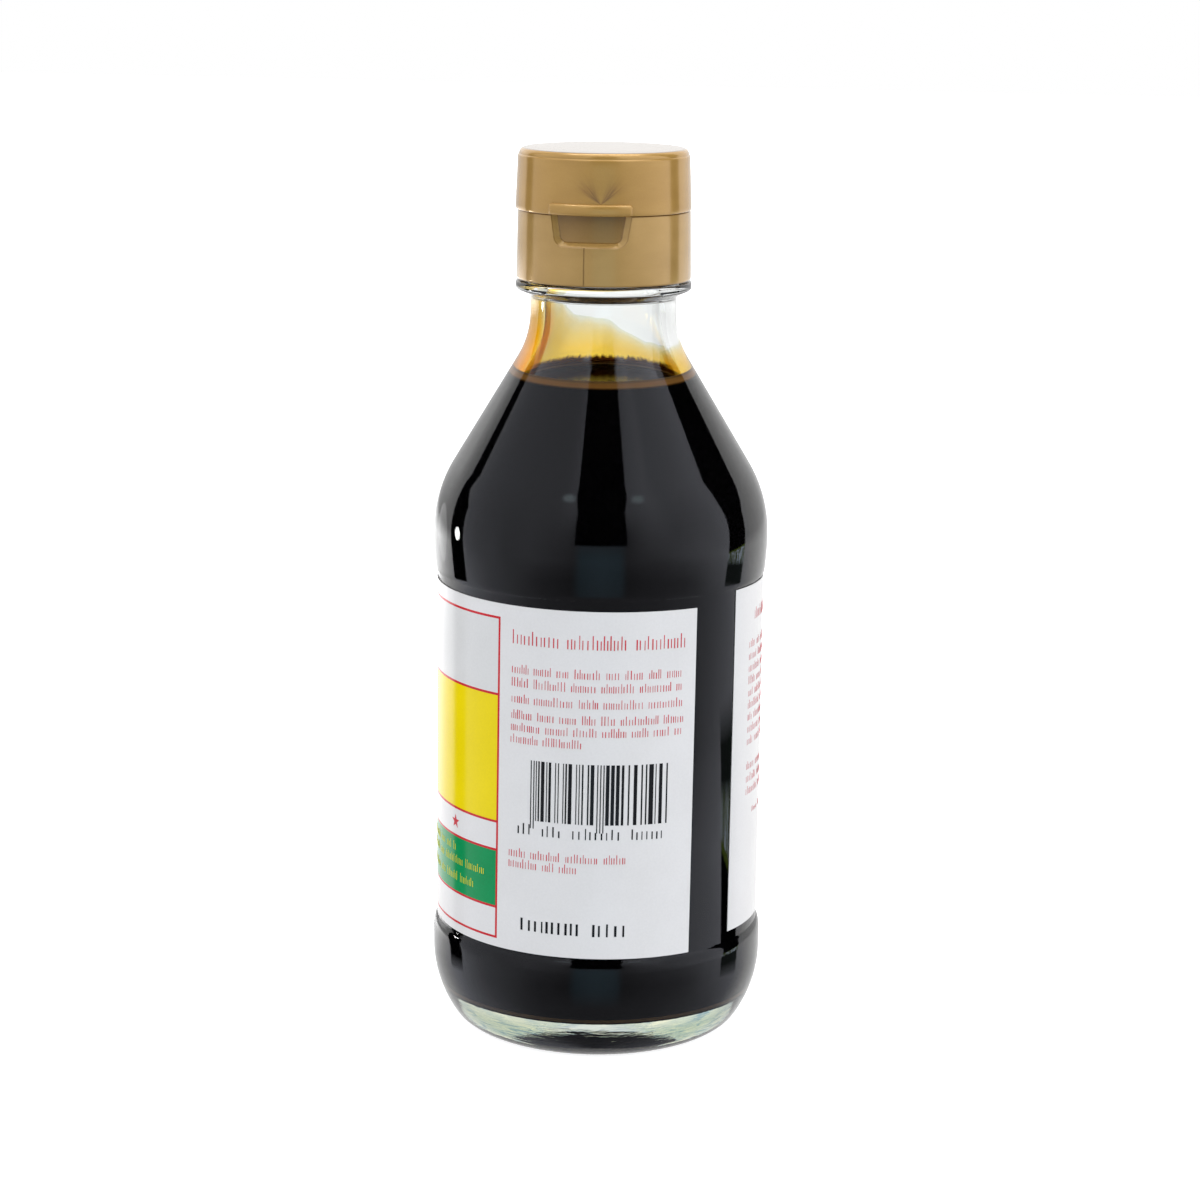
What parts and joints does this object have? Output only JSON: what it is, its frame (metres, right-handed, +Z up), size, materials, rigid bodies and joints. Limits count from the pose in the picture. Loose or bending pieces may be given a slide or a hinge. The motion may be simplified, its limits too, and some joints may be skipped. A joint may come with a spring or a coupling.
{
  "type": "soy sauce bottle",
  "caption": "Small clear glass bottle of dark soy sauce with a gold flip-top cap, shut, and a white paper wrap label.",
  "frame": {"origin": "centre of the flat ring that the bottle stands on", "axes": "+Z up along the bottle's axis, -Y towards the thumb tab of the lid"},
  "size_m": [0.0582, 0.0582, 0.1548],
  "materials": {
    "clear_glass": "clear soda glass with a faint green tint",
    "dark_soy_sauce": "nearly black liquid, amber where it is a thin film",
    "gold_pearl_plastic": "satin pearl gold moulded plastic",
    "label_paper": "white coated paper, softly glossy"
  },
  "bodies": {
    "root": {"glass_bottle": "clear_glass", "soy_sauce": "dark_soy_sauce", "cap_base": "gold_pearl_plastic", "cap_lid": "gold_pearl_plastic", "label": "label_paper"}
  },
  "joints": []
}
